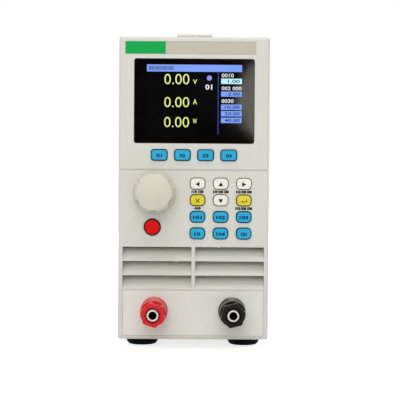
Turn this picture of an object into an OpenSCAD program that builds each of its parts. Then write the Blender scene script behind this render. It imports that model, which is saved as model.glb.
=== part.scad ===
// Bench DC electronic load in a narrow upright case.
// Front faces -Y, up is +Z, and the origin is on the floor under the middle of the whole object.

/* [Case] */
// Width of the case
case_w = 88; // [80:1:100]
// Height of the case without feet and handle
case_h = 177; // [160:1:195]
// Depth from the front face to the rear panel
case_d = 270; // [240:1:320]
// Thickness of the steel sheet
sheet_t = 1.2; // [0.8:0.1:2]
// Radius of the long case edges
case_r = 1.8; // [1:0.1:3]
// Gap between sheets that slip into each other
slip_gap = 0.2; // [0.1:0.05:0.4]
// Height of the folded sheet flanges
fold_h = 11; // [8:1:16]
// Gap between the fan and the rear panel's folds
fold_gap = 3; // [2:0.5:6]

/* [Bezel] */
// Depth of the moulded bezel
bezel_d = 20; // [18:1:28]
// Thickness of the bezel's front wall
face_t = 3; // [2.6:0.1:4]
// Thickness of the bezel's side walls
side_t = 2.5; // [2:0.1:3]
// Radius of the bezel's front edges
edge_r = 1.6; // [0.8:0.1:2.4]
// Length of the lip that the cover slips over
lip_d = 8; // [6:0.5:12]
// Thickness of that lip
lip_t = 1.8; // [1.2:0.1:2.5]
// Distance from the soft keys' centres down to the seam line
seam_drop = 8.65; // [7:0.05:9]
// Width of the seam line
seam_w = 0.7; // [0.4:0.1:1.2]
// Depth of the seam line
seam_depth = 0.5; // [0.3:0.1:0.8]

/* [Name strip] */
// Distance from the case's left side to the bare name strip
strip_left = 3.6; // [3:0.1:8]
// Distance from the case's right side to the strip
strip_right = 8.2; // [3:0.1:10]
// Height of the strip
strip_h = 7.3; // [5:0.1:8]
// Distance from the case top to the strip
strip_top = 2.8; // [2:0.1:4]
// Thickness of the strip's film
strip_t = 0.4; // [0.2:0.1:0.8]
// Width of the green label on the strip
label_w = 23.4; // [10:0.1:40]
// Thickness of the green label
label_t = 0.2; // [0.1:0.05:0.3]

/* [Display] */
// Width of the display window
window_w = 70.5; // [66:0.5:74]
// Height of the display window
window_h = 49.6; // [47:0.1:50]
// Corner radius of the window
window_r = 1.5; // [0.8:0.1:3]
// Distance from the case top to the window
window_top = 12.7; // [12:0.1:14]
// Thickness of the window
window_t = 1.5; // [1:0.1:1.7]
// How far the window lies below the face
window_recess = 0.3; // [0.1:0.05:0.5]
// Width of the opening behind the window
view_w = 60; // [58:0.5:64]
// Height of the opening behind the window
view_h = 45; // [43:0.5:46]
// Width of the display module
lcd_w = 68; // [65:0.5:69]
// Height of the display module
lcd_h = 49; // [47:0.5:50]
// Thickness of the display module
lcd_t = 4; // [3:0.1:5]

/* [Keys] */
// Distance between key centres, across
key_pitch = 13.54; // [13:0.01:13.8]
// Width of a soft key's hole
soft_w = 10; // [9:0.1:10.4]
// Height of a soft key's hole
soft_h = 7; // [6:0.1:7.4]
// Corner radius of a soft key's hole
soft_r = 1.9; // [1:0.1:2.5]
// Distance from the window's lower edge to the soft keys' centres
soft_drop = 6.75; // [5:0.05:8]
// Width of a keypad hole
pad_w = 9.3; // [8:0.1:10]
// Height of a keypad hole
pad_h = 7.1; // [6:0.1:7.4]
// Corner radius of a keypad hole
pad_r = 2.7; // [1.5:0.1:3]
// Centre of the keypad's middle column
pad_x = 15.8; // [14:0.1:16]
// Distance from the soft keys' centres down to the keypad's top row
pad_drop = 16.6; // [14:0.1:18]
// Distance between keypad rows
pad_pitch = 9.7; // [9.6:0.1:10]
// Gap around a key in its hole
key_gap = 0.5; // [0.2:0.05:0.6]
// How far a key stands out of the face
key_proud = 1.2; // [1:0.1:2]
// Travel of a key
key_travel = 0.8; // [0.4:0.1:0.9]
// Width of the rim that keeps a key behind the face
key_rim = 0.6; // [0.4:0.1:0.7]
// Thickness of that rim
key_rim_t = 1; // [0.8:0.1:1.4]
// Gap between the rim and the face
key_play = 0.2; // [0.1:0.05:0.3]
// Diameter of a key's stem
stem_d = 3; // [2:0.1:3.4]
// Gap around a stem in its switch
stem_gap = 0.1; // [0.05:0.05:0.2]
// Length of a stem inside its switch at rest
stem_in = 0.6; // [0.4:0.1:0.8]
// Room left under a stem at the end of its travel
stem_room = 0.4; // [0.2:0.1:0.6]

/* [Knob] */
// Diameter of the knob at its foot
knob_d = 24.6; // [22:0.1:26]
// Diameter of the knob's face
knob_face_d = 22.4; // [20:0.1:24]
// Height of the knob
knob_h = 14; // [12.5:0.5:18]
// Rise of the knob's face from its rim to its middle
knob_crown = 1.1; // [0.3:0.1:1.5]
// Radius of the knob's round rim
knob_rim = 2.6; // [1:0.1:3]
// Height of the round skirt under the finger scallops
knob_skirt = 4; // [2:0.5:6]
// Number of finger scallops
scallops = 6; // [4:1:8]
// Radius of a scallop
scallop_r = 3; // [2.5:0.1:5]
// Depth of a scallop
scallop_depth = 1.1; // [0.8:0.1:2]
// Centre of the knob, across
knob_x = -22.9; // [-24:0.1:-22]
// Distance from the seam line down to the knob's centre
knob_drop = 13.25; // [12:0.05:14.5]
// Gap between the knob and the face
knob_lift = 0.6; // [0.4:0.1:1]
// Diameter of the encoder shaft
shaft_d = 6; // [5:0.1:6.4]
// Radial running clearance of the shaft
shaft_gap = 0.05; // [0.02:0.01:0.08]
// Wall of the encoder's bush
bush_t = 0.8; // [0.6:0.1:1.2]
// Width of the encoder's housing
encoder_w = 12; // [11:0.5:14]

/* [Power button] */
// Diameter of the button's hole
button_d = 10.1; // [9:0.1:11]
// Centre of the button, across
button_x = -24.1; // [-25:0.1:-23]
// Distance from the knob's centre down to the button's centre
button_drop = 20.3; // [19:0.1:22]
// How far the button stands out
button_proud = 2.5; // [2.3:0.1:4]
// Travel of the button
button_travel = 2.2; // [1:0.1:2.3]
// Room behind the button at the end of its travel
button_room = 0.9; // [0.4:0.1:1.2]
// Crown of the button's face
button_crown = 0.6; // [0.3:0.1:1]
// Width of the power switch
switch_w = 8; // [7:0.5:10]

/* [Louvres] */
// Distance from the case side to a louvre window
louvre_side = 2.6; // [2.5:0.1:4]
// Width of the rib between the windows
rib_w = 2.2; // [1.6:0.1:4]
// Depth of that rib
rib_d = 9; // [8:0.5:10]
// Distance from the terminal panel to the lowest slat
louvre_rise = 0.3; // [0.2:0.1:2]
// Distance between slats
slat_pitch = 8.35; // [7.8:0.05:8.4]
// Distance from the top slat to the keypad's lowest holes
louvre_gap = 3.6; // [3:0.1:6]
// Depth of a slat
slat_d = 7; // [5:0.5:7.5]
// Thickness of a slat, measured upright
slat_t = 2.2; // [1.6:0.1:3]
// Height of a slat's flat front edge
slat_edge = 0.8; // [0.5:0.1:1.2]
// Open height between a slat's back and the next slat's edge
slat_open = 0.6; // [0.4:0.1:1]

/* [Terminals] */
// Distance from the case side to the terminal panel
panel_side = 2.8; // [2.6:0.1:4]
// Distance from the case bottom to the terminal panel
panel_z0 = 2.2; // [2:0.1:4]
// Height of the terminal panel
panel_h = 26.6; // [24:0.1:26.8]
// Thickness of the terminal panel
panel_t = 1.2; // [0.8:0.1:1.4]
// Gap around the terminal panel
panel_gap = 0.1; // [0.05:0.05:0.3]
// Distance of a binding post from the case side
post_side = 21.3; // [18:0.1:24]
// Height of the posts
post_z = 17; // [15:0.1:18]
// Diameter of a post's base
base_d = 16; // [14:0.1:18]
// Height of a post's base
base_t = 5; // [3:0.1:6]
// Width of the chamfer on the base's front edge
base_edge = 1.7; // [0.4:0.1:1.7]
// Diameter of the neck that passes through the wall
neck_d = 10; // [9:0.1:12]
// Diameter of the metal stud
stud_d = 6.6; // [6:0.1:7.6]
// Diameter of the plug socket in the stud
socket_d = 4.1; // [4:0.05:4.2]
// Depth of the plug socket
socket_depth = 20; // [15:1:24]
// Diameter of the clamp washer
washer_d = 12.5; // [11:0.1:14]
// Thickness of the clamp washer
washer_t = 1; // [0.8:0.1:1.5]
// Gap between washer, base and cap
clamp_gap = 0.15; // [0.05:0.05:0.3]
// Width of the cap's hex part across its corners
cap_d = 14.5; // [13:0.1:16]
// Length of the whole cap
cap_l = 20.4; // [16:0.1:24]
// Step from the hex corners out to the cap's round collar
collar_step = 0.15; // [0.05:0.05:0.5]
// Length of the round collar behind the hex part
collar_l = 11; // [6:0.5:14]
// Chamfer on the edges of the cap
cap_edge = 0.7; // [0.3:0.1:1]
// Diameter of the recess in the cap's end
cap_recess_d = 8.8; // [8:0.1:10]
// Depth of that recess
cap_recess = 3; // [1:0.1:5]
// Radial running clearance of cap on stud
thread_gap = 0.05; // [0.02:0.01:0.1]
// How far the stud stands out of the cap
stud_tip = 0.6; // [0.2:0.1:2]
// Unscrewing travel of the cap
cap_travel = 5; // [3:0.5:8]
// Turn of the red cap at rest
red_turn = 17.4; // [0:0.1:60]
// Turn of the black cap at rest
black_turn = 46.5; // [0:0.1:60]
// Thickness of a stud nut
nut_t = 4.5; // [4:0.1:5]
// Width of a stud nut across its corners
nut_d = 13; // [12:0.1:15]

/* [Handle] */
// Distance of an end cap from the front face and from the rear panel
handle_y = 42; // [38:1:60]
// Width of an end cap
grip_w = 22; // [20:0.5:28]
// Length of an end cap
grip_l = 22; // [20:0.5:30]
// Height of an end cap
grip_h = 7.6; // [7.2:0.1:10]
// Thickness of an end cap's roof
roof_t = 1.6; // [1.4:0.1:2.2]
// How far the roof stands over the undercut
roof_over = 3; // [1:0.5:4]
// Width of the strap
strap_w = 18; // [14:0.5:18.5]
// Thickness of the strap
strap_t = 2.4; // [1.8:0.1:2.6]
// Length of the strap inside an end cap
strap_in = 10; // [8:0.5:11]
// Rise of the strap's arch
strap_rise = 11; // [8:0.5:16]
// Lift of the strap in its end caps
strap_lift = 1.8; // [1:0.1:2]
// Gap around the strap in its end caps
strap_gap = 0.4; // [0.2:0.1:0.5]

/* [Feet] */
// Height of a rubber foot
foot_h = 7; // [5:0.5:10]
// Diameter of a foot at its top
foot_d = 20.5; // [16:0.5:21]
// Diameter of a foot's flat sole
sole_d = 14.5; // [10:0.5:16]
// Distance of a foot from the case side
foot_side = 13; // [12.5:0.5:18]
// Distance of the feet from the front face and from the rear panel
foot_y = 34; // [31:1:50]

/* [Screws] */
// Diameter of a cabinet screw
screw_d = 3; // [2.5:0.1:3.5]
// Diameter of its head
head_d = 5.6; // [5:0.1:6]
// Height of its head
head_h = 1; // [0.8:0.1:1.8]
// Length of its shank
screw_l = 4; // [3.6:0.1:4.4]
// Gap around a screw in its hole
screw_gap = 0.1; // [0.05:0.05:0.3]
// Distance of the side screws from the case top and bottom
side_screw_in = 32; // [26:1:40]
// Distance from the face to the front tray screws
tray_screw_front = 90; // [70:1:110]
// Distance from the rear panel to the rear tray screws
tray_screw_back = 80; // [60:1:90]

/* [Fan] */
// Gap between the fan's square frame and the case side
fan_side = 4; // [3.6:0.1:6]
// Thickness of the fan
fan_t = 25; // [22:0.5:30]
// Height of the fan's centre
fan_z = 48; // [46:0.5:50]
// Wall of the fan's frame beside its duct
duct_wall = 2; // [1.5:0.1:4]
// Distance from the frame's edge to its screw holes
fan_hole_in = 4.25; // [4:0.05:5]
// Diameter of the rotor's hub
hub_d = 34; // [30:0.5:38]
// Number of blades
blades = 7; // [5:1:9]
// Thickness of a blade
blade_t = 1.6; // [1.2:0.1:2]
// Gap between blade tips and duct
tip_gap = 1; // [0.6:0.1:2]
// Diameter of the fan's shaft
fan_shaft_d = 4; // [3:0.1:5]
// Radial running clearance of that shaft
fan_gap = 0.05; // [0.02:0.01:0.08]
// Diameter of a guard wire
wire_d = 1.8; // [1.4:0.1:2]

/* [Rear sockets] */
// Centre of the mains inlet, across
inlet_x = -20; // [-21:0.5:-18]
// Distance from the case top to the inlet's centre
inlet_top = 44; // [40:0.5:48]
// Width of the inlet's body
inlet_w = 28; // [27:0.5:30]
// Height of the inlet's body
inlet_h = 36; // [34:0.5:40]
// Depth of the inlet's body
inlet_d = 24; // [22:0.5:28]
// Width of the inlet's rim over the panel
inlet_rim = 2.5; // [1.5:0.1:4]
// Thickness of the inlet's rim
inlet_rim_t = 2; // [1.5:0.1:3]
// Width of the mains socket
mains_w = 24.2; // [24:0.1:25]
// Height of the mains socket
mains_h = 16.4; // [16:0.1:17]
// Depth of the mains socket
mains_depth = 17; // [16:0.5:19]
// Width of the socket's two slanted upper corners
mains_cut = 4.5; // [4:0.1:5]
// Wall of the inlet over the mains socket
socket_wall = 3; // [2:0.1:4]
// Wall of the inlet under the fuse drawer
bay_wall = 2.5; // [1.5:0.1:3]
// Length of a mains pin
pin_l = 11; // [10:0.5:12]
// Width of the fuse drawer
drawer_w = 23; // [22.6:0.1:24]
// Height of the fuse drawer
drawer_h = 9; // [8.5:0.1:9.5]
// Depth of the fuse drawer
drawer_d = 18; // [16:0.5:20]
// Gap around the fuse drawer
drawer_gap = 0.2; // [0.1:0.05:0.3]
// Diameter of the fuse
fuse_d = 5; // [4.6:0.1:5.4]
// Length of the fuse
fuse_l = 20; // [18:0.5:20.4]
// Gap around the fuse in its drawer
fuse_gap = 0.1; // [0.05:0.05:0.2]
// Centre of the data ports, across
port_x = 20; // [18:0.5:22]
// Distance from the case top to the serial port
serial_top = 30; // [26:0.5:34]
// Distance from the case top to the square data port
usb_top = 56; // [52:0.5:60]
// How far the serial port's shell stands out
serial_out = 5.8; // [5:0.1:7]
// Width of the serial port's body
serial_body_w = 19; // [18.5:0.1:20]
// Height of the serial port's body
serial_body_h = 11; // [10:0.1:12]
// Width of the serial port's flange
serial_flange_w = 30.8; // [30:0.1:32]
// Height of the serial port's flange
serial_flange_h = 12.6; // [12:0.1:13]
// Width of the square data port
usb_w = 12; // [11.5:0.1:13]
// Height of the square data port
usb_h = 11; // [10.5:0.1:12]
// Depth of the data ports behind the rear panel
port_d = 14; // [10:0.5:16]
// Thickness of the data ports' flanges
port_flange_t = 1; // [0.6:0.1:1.4]

/* [Vents] */
// Width of a side vent slot
slot_w = 3; // [2:0.1:4]
// Length of a side vent slot
slot_l = 24; // [16:1:28]
// Distance between side vent slots
slot_pitch = 8; // [6:0.5:9]
// Number of side vent slots in a row
slot_count = 10; // [6:1:12]
// Distance from the case top to the middle of the upper row
slot_top = 35; // [30:1:38]
// Bar between the two rows
slot_bar = 6; // [4:0.5:10]

/* [Inside] */
// Distance from the face to the front board
board_y = 11.5; // [11.2:0.1:12]
// Thickness of the boards
board_t = 1.6; // [1.2:0.1:2]
// Distance from the case top to the front board's upper edge
board_top = 6; // [5:0.5:6.5]
// Distance from the keypad's lowest row down to the front board's lower edge
board_drop = 5.7; // [5.2:0.1:6.5]
// Width of a tact switch
tact_w = 6; // [5.5:0.1:6.5]
// Height of a tact switch
tact_h = 3.5; // [3.2:0.1:4]
// Diameter of a board post in the bezel
boss_d = 4.4; // [4:0.1:5]
// Distance of an upper board post from the bezel's side wall
boss_side = 3.4; // [3:0.1:6]
// Distance of a board post from the board's edge
boss_edge = 3.5; // [3:0.1:3.8]
// Place of the lower board post, between knob and keypad
boss_low_x = -9; // [-10:0.1:-8]
// Gap between the front board and the bezel's side wall
board_gap = 0.8; // [0.5:0.1:1.2]
// Gap between the heat sink and the case side
sink_side = 6; // [5:0.5:9]
// Height of the heat sink
sink_h = 78; // [70:1:82]
// Gap between the heat sink and the fan
sink_fan_gap = 23.8; // [10:0.1:40]
// Gap between the heat sink and the bus bars' risers
sink_riser_gap = 14; // [8:1:20]
// Number of air channels
channels = 10; // [6:1:12]
// Thickness of a fin
fin_t = 2.2; // [1.6:0.1:3]
// Thickness of the heat sink's floor and roof
sink_wall = 7; // [5:0.5:10]
// Height of a board standoff over the heat sink
standoff_h = 14; // [12:0.5:20]
// Width of a standoff across its corners
standoff_d = 6; // [5:0.1:8]
// Distance of a standoff from the heat sink's ends
standoff_in = 10; // [6:0.5:14]
// Distance of a standoff from the heat sink's sides
standoff_side = 5; // [4:0.5:8]
// Length of the power board
power_l = 196; // [170:1:210]
// Gap between the power board and the mains inlet
power_gap = 8; // [6:1:16]
// Width of a bus bar
bar_w = 12; // [11:0.5:16]
// Thickness of a bus bar
bar_t = 2; // [1.5:0.1:2.4]
// Distance of the bars' step below the front board
bar_drop = 5; // [4:0.5:8]
// Distance of a bus bar's riser from the power board's front edge
riser_in = 6; // [3:0.5:10]
// Width of a power transistor
fet_w = 16; // [14:0.5:18]
// Length of a power transistor
fet_l = 20; // [16:0.5:22]
// Thickness of a power transistor
fet_t = 5; // [4:0.1:6]
// Length of the mains transformer
core_l = 48; // [40:1:54]
// Width of the mains transformer
core_w = 40; // [34:1:50]
// Height of the mains transformer
core_h = 36; // [30:1:42]
// Diameter of a filter capacitor
can_d = 18; // [14:0.5:20]
// Height of a filter capacitor
can_h = 30; // [20:1:36]
// Distance of the first capacitors from the power board's front edge
can_in = 50; // [30:1:52]
// Gap between capacitors
can_gap = 8; // [4:0.5:10]
// Gap between the transformer and the power board's rear edge
core_in = 8; // [4:0.5:12]

/* [Hidden] */
$fn = 64;
// Length by which cuts pass the surface that they open
over = 1;
// Name of the sub-part to draw, or all of them

// Places measured from the front face and from the case bottom
inner_w = case_w - 2 * sheet_t - 2 * slip_gap;
rear_y = case_d - sheet_t;
fan_y = rear_y - fan_t;
fan_w = case_w - 2 * fan_side;
duct_d = fan_w - 2 * duct_wall;
fan_hole_pitch = fan_w - 2 * fan_hole_in;
strip_w = case_w - strip_left - strip_right;
strip_x = (strip_left - strip_right) / 2;
strip_z = case_h - strip_top - strip_h / 2;
window_z = case_h - window_top - window_h / 2;
window_pocket = window_recess + window_t;
soft_z = case_h - window_top - window_h - soft_drop;
seam_z = soft_z - seam_drop;
pad_z = soft_z - pad_drop - 3 * pad_pitch;
knob_z = seam_z - knob_drop;
button_z = knob_z - button_drop;
board_z0 = pad_z - board_drop;
board_z1 = case_h - board_top;
tact_y = board_y - tact_h;
rim_y = face_t + key_play;
stem_end = tact_y + stem_in;
tact_hole = stem_in + key_travel + stem_room;
louvre_x = case_w / 2 - louvre_side;
louvre_z = panel_z0 + panel_h + louvre_rise;
slats = max(1, floor((pad_z - pad_h / 2 - louvre_gap - louvre_z) / slat_pitch));
louvre_h = slats * slat_pitch;
panel_w = case_w - 2 * panel_side;
post_x = case_w / 2 - post_side;
stud_hole_d = stud_d + 2 * thread_gap;
washer_y = -base_t - clamp_gap;
cap_y = washer_y - washer_t - clamp_gap;
post_reach = -cap_y + cap_l + stud_tip;
bar_y = face_t + washer_t + nut_t;
stud_end = bar_y + bar_t + nut_t + 2;
front_y = (post_reach - case_d - serial_out) / 2;
sink_w = case_w - 2 * sink_side;
power_y = case_d - inlet_d - power_gap - power_l;
riser_y = power_y + riser_in;
sink_y = riser_y + sink_riser_gap;
sink_l = fan_y - sink_fan_gap - sink_y;
sink_z = sheet_t + sink_h;
power_z = sink_z + standoff_h;
inlet_z = case_h - inlet_top;
mains_z = inlet_z + inlet_h / 2 - mains_h / 2 - socket_wall;
drawer_z = inlet_z - inlet_h / 2 + drawer_h / 2 + bay_wall;
serial_z = case_h - serial_top;
usb_z = case_h - usb_top;
screw_hole_d = screw_d + 2 * screw_gap;
button_rim_t = 1;
button_switch_y = rim_y + button_rim_t + button_travel + button_room;
button_end = button_switch_y + stem_in;
strap_z = 0.6 + strap_gap;
handle_end = case_d - handle_y;
strap_span = handle_end - handle_y - 2 * grip_l;
strap_radius = (strap_span * strap_span / 4 + strap_rise * strap_rise) / (2 * strap_rise);
foot_x = case_w / 2 - foot_side;
foot_ys = [foot_y, case_d - foot_y];
boss_x = case_w / 2 - side_t - boss_side;
fold_z = fan_z + fan_w / 2 + fold_gap;
front_screw_y = bezel_d + lip_d / 2;
rear_screw_y = rear_y - fold_h / 2;
side_screws = [
    [front_screw_y, side_screw_in], [front_screw_y, case_h - side_screw_in],
    [rear_screw_y, fold_z + fold_h / 2], [rear_screw_y, case_h - side_screw_in]
];
tray_screw_ys = [tray_screw_front, case_d - tray_screw_back];
bosses = [
    [-boss_x, board_z1 - boss_edge], [boss_x, board_z1 - boss_edge], [boss_low_x, board_z0 + boss_edge]
];
standoff_ys = [sink_y + standoff_in, sink_y + sink_l - standoff_in];
standoff_x = sink_w / 2 - standoff_side;
fet_ys = [for (i = [0:3]) sink_y + sink_l * (i + 1) / 5];
fet_x = 17;
can_ys = [power_y + can_in, power_y + can_in + can_d + can_gap];
can_x = 22;
core_y = power_y + power_l - core_l - core_in;
slot_zs = [case_h - slot_top, case_h - slot_top - slot_l - slot_bar];
vent_y = (bezel_d + case_d - (slot_count - 1) * slot_pitch) / 2;

// Seats of the sunk screws in a foot and in a handle cap
foot_seat = 3;
handle_seat = 3.5;
handle_screw_in = 4;
handle_screw_y = roof_over + handle_screw_in;

// Fan details
hub_plate_t = 3;
bearing_d = 11;
bearing_in = 8;
fan_r = 4;
strut_w = 4;
cup_wall = 2;

// Rear socket details
drawer_out = case_d + inlet_rim_t;
fuse_in = 9;
fuse_y = drawer_out - fuse_in;

// Colours of the mouldings and metals
cream = [0.84, 0.84, 0.81];
white = [0.96, 0.96, 0.93];
yellow = [0.88, 0.82, 0.24];
blue = [0.18, 0.68, 0.84];
red = [0.84, 0.16, 0.2];
black = [0.1, 0.1, 0.11];
steel = [0.74, 0.74, 0.75];
board_green = [0.1, 0.4, 0.2];

// Keypad places as column and row, in the order of the key names
soft_keys = ["soft_key_1", "soft_key_2", "soft_key_3", "soft_key_4"];
pad_keys = [
    ["key_left", 0, 3], ["key_up", 1, 3], ["key_right", 2, 3],
    ["key_escape", 0, 2], ["key_down", 1, 2], ["key_enter", 2, 2],
    ["key_mode", 0, 1], ["key_menu", 1, 1], ["key_set", 2, 1],
    ["key_channel", 0, 0], ["key_trigger", 1, 0], ["key_on", 2, 0]
];

function soft_x(i) = (i - 1.5) * key_pitch;
function pad_column_x(column) = pad_x + (column - 1) * key_pitch;
function pad_row_z(row) = pad_z + row * pad_pitch;

// Moves a sub-part from the case's own measures to the part's frame
module placed() { translate([0, front_y, foot_h]) children(); }

// Extrudes an outline of X and Z along Y
module along_y(y0, y1) { translate([0, y1, 0]) rotate([90, 0, 0]) linear_extrude(y1 - y0) children(); }

// Extrudes an outline of Y and Z along X
module along_x(x0, x1) { translate([x0, 0, 0]) rotate([90, 0, 90]) linear_extrude(x1 - x0) children(); }

// Extrudes an outline of X and Y along Z
module along_z(z0, z1) { translate([0, 0, z0]) linear_extrude(z1 - z0) children(); }

// Round bar along Y
module rod_y(d, y0, y1) { translate([0, y0, 0]) rotate([-90, 0, 0]) cylinder(d = d, h = y1 - y0); }

// Turns a profile of radius and height about Y, with the height towards the front
module turned_y() { rotate([90, 0, 0]) rotate_extrude() children(); }

// Rectangle with round corners, about its centre
module round_rect(w, h, r) {
    square([w - 2 * r, h], center = true);
    square([w, h - 2 * r], center = true);
    for (x = [-1, 1], y = [-1, 1]) translate([x * (w / 2 - r), y * (h / 2 - r)]) circle(r);
}

// Upright slot with round ends, about its centre
module slot_shape(w, l) {
    square([w, l - w], center = true);
    for (side = [-1, 1]) translate([0, side * (l - w) / 2]) circle(d = w);
}

// Rectangle whose two corners at the origin side are round, as deep as d and as wide as w
module round_front(d, w, r) {
    translate([r, -w / 2]) square([d - r, w]);
    translate([0, r - w / 2]) square([d, w - 2 * r]);
    for (side = [-1, 1]) translate([r, side * (w / 2 - r)]) circle(r);
}

module at_soft_keys() { for (i = [0:3]) translate([soft_x(i), 0, soft_z]) children(); }

module at_pad_keys() {
    for (key = pad_keys) translate([pad_column_x(key[1]), 0, pad_row_z(key[2])]) children();
}

module at_posts() { for (side = [-1, 1]) translate([side * post_x, 0, post_z]) children(); }

module at_bosses() { for (place = bosses) translate([place[0], 0, place[1]]) children(); }

module at_side_screws() {
    for (side = [-1, 1], place = side_screws)
        translate([side * case_w / 2, place[0], place[1]]) rotate([0, side * 90, 0]) children();
}

module at_tray_screws() {
    for (side = [-1, 1], y = tray_screw_ys)
        translate([side * case_w / 2, y, fold_h / 2]) rotate([0, side * 90, 0]) children();
}

module at_front_screws() {
    for (side = [-1, 1]) translate([side * foot_x / 2, front_screw_y, 0]) rotate([180, 0, 0]) children();
}

module at_feet() { for (side = [-1, 1], y = foot_ys) translate([side * foot_x, y, 0]) children(); }

// Screw with its seat at the origin and its head towards +Z, with a cross recess
module screw(d, l, head, height) {
    difference() {
        union() {
            cylinder(d = head, h = height * 0.6);
            translate([0, 0, height * 0.6]) cylinder(d1 = head, d2 = head * 0.7, h = height * 0.4);
            translate([0, 0, -l]) cylinder(d = d, h = l);
        }
        for (turn = [0, 90]) rotate([0, 0, turn])
            translate([0, 0, height]) cube([head * 0.6, head * 0.14, height], center = true);
    }
}

// Hole for a cabinet screw, with its seat at the origin
module screw_hole() { translate([0, 0, -screw_l - over]) cylinder(d = screw_hole_d, h = screw_l + 2 * over); }

// Outer form of the bezel, with round front edges
module bezel_blank() {
    intersection() {
        translate([0, 0, case_h / 2]) along_y(0, bezel_d) round_rect(case_w, case_h, case_r);
        translate([0, 0, case_h / 2]) along_x(-case_w / 2, case_w / 2) round_front(bezel_d, case_h, edge_r);
        rotate([0, 0, 90]) along_z(0, case_h) round_front(bezel_d, case_w, edge_r);
    }
}

// Ring that the cover and the tray slip over
module bezel_lip() {
    lip_w = inner_w;
    lip_h = case_h - 2 * sheet_t - 2 * slip_gap;
    translate([0, 0, case_h / 2]) along_y(bezel_d - lip_d / 2, bezel_d + lip_d) difference() {
        square([lip_w, lip_h], center = true);
        square([lip_w - 2 * lip_t, lip_h - 2 * lip_t], center = true);
    }
}

// Slat that leans back as it rises, with its flat edge in the face
module slat(z, sink) {
    rise = slat_pitch - slat_edge - slat_open;
    foot = slat_d * slat_t / rise;
    translate([0, 0, z]) along_x(-case_w / 2 + side_t / 2, case_w / 2 - side_t / 2) polygon([
        [0, -sink], [0, slat_edge], [slat_d, slat_edge + rise],
        [slat_d, slat_edge + rise - slat_t], [foot, -sink]
    ]);
}

module front_bezel() {
    color(cream) difference() {
        union() {
            difference() {
                bezel_blank();
                translate([0, 0, case_h / 2]) along_y(face_t, bezel_d + over)
                    square([case_w - 2 * side_t, case_h - 2 * side_t], center = true);
                translate([0, 0, louvre_z + louvre_h / 2]) along_y(-over, face_t + over)
                    square([2 * louvre_x, louvre_h], center = true);
            }
            bezel_lip();
            translate([-rib_w / 2, 0, louvre_z - over]) cube([rib_w, rib_d, louvre_h + 2 * over]);
            for (i = [0:slats - 1]) slat(louvre_z + i * slat_pitch, i == 0 ? over : 0);
            at_bosses() rod_y(boss_d, face_t - over, board_y);
        }
        translate([strip_x, 0, strip_z]) along_y(-over, strip_t) square([strip_w, strip_h], center = true);
        translate([0, 0, window_z]) along_y(-over, window_pocket) round_rect(window_w, window_h, window_r);
        translate([0, 0, window_z]) along_y(-over, face_t + over) square([view_w, view_h], center = true);
        at_soft_keys() along_y(-over, face_t + over) round_rect(soft_w, soft_h, soft_r);
        at_pad_keys() along_y(-over, face_t + over) round_rect(pad_w, pad_h, pad_r);
        translate([knob_x, 0, knob_z])
            rod_y(shaft_d + 2 * shaft_gap + 2 * bush_t + 2 * slip_gap, -over, face_t + over);
        translate([button_x, 0, button_z]) rod_y(button_d, -over, face_t + over);
        translate([0, 0, panel_z0 + panel_h / 2]) along_y(-over, panel_t)
            square([panel_w, panel_h], center = true);
        at_posts() rod_y(neck_d + 2 * slip_gap, -over, face_t + over);
        at_bosses() rod_y(screw_d - 2 * screw_gap, face_t, board_y + over);
        at_side_screws() screw_hole();
        at_front_screws() screw_hole();
        seam();
    }
}

// Groove across the face and round onto both sides
module seam() {
    translate([0, 0, seam_z]) difference() {
        translate([-case_w / 2 - over, -over, -seam_w / 2]) cube([case_w + 2 * over, bezel_d + over, seam_w]);
        translate([seam_depth - case_w / 2, seam_depth, -seam_w])
            cube([case_w - 2 * seam_depth, bezel_d + over, 2 * seam_w]);
    }
}

module name_strip() {
    color([0.75, 0.73, 0.67]) translate([strip_x, 0, strip_z])
        along_y(0, strip_t) square([strip_w - 2 * panel_gap, strip_h - 2 * panel_gap], center = true);
}

module green_label() {
    color([0.12, 0.7, 0.32]) translate([strip_x - strip_w / 2 + panel_gap + label_w / 2, 0, strip_z])
        along_y(-label_t, 0) square([label_w, strip_h - 2 * panel_gap], center = true);
}

module display_window() {
    color([0.08, 0.08, 0.1]) translate([0, 0, window_z]) along_y(window_recess, window_pocket)
        round_rect(window_w - 2 * slip_gap, window_h - 2 * slip_gap, window_r - slip_gap);
}

module lcd_module() {
    color([0.2, 0.2, 0.25]) translate([0, 0, window_z]) along_y(face_t, face_t + lcd_t)
        square([lcd_w, lcd_h], center = true);
}

module terminal_panel() {
    color(cream) translate([0, 0, panel_z0 + panel_h / 2]) difference() {
        along_y(0, panel_t) square([panel_w - 2 * panel_gap, panel_h - 2 * panel_gap], center = true);
        for (side = [-1, 1]) translate([side * post_x, 0, post_z - panel_z0 - panel_h / 2])
            rod_y(neck_d + 2 * slip_gap, -over, panel_t + over);
    }
}

// Key for a hole of w by h: cap, rim behind the face and stem into its switch
module key(w, h, r) {
    along_y(-key_proud, rim_y + key_rim_t) round_rect(w - 2 * key_gap, h - 2 * key_gap, r - key_gap);
    along_y(rim_y, rim_y + key_rim_t) round_rect(w + 2 * key_rim, h + 2 * key_rim, r);
    rod_y(stem_d, rim_y, stem_end);
}

module soft_key(i) {
    color(blue) translate([soft_x(i), 0, soft_z]) key(soft_w, soft_h, soft_r);
}

module pad_key(i, tone) {
    color(tone) translate([pad_column_x(pad_keys[i][1]), 0, pad_row_z(pad_keys[i][2])])
        key(pad_w, pad_h, pad_r);
}

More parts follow.
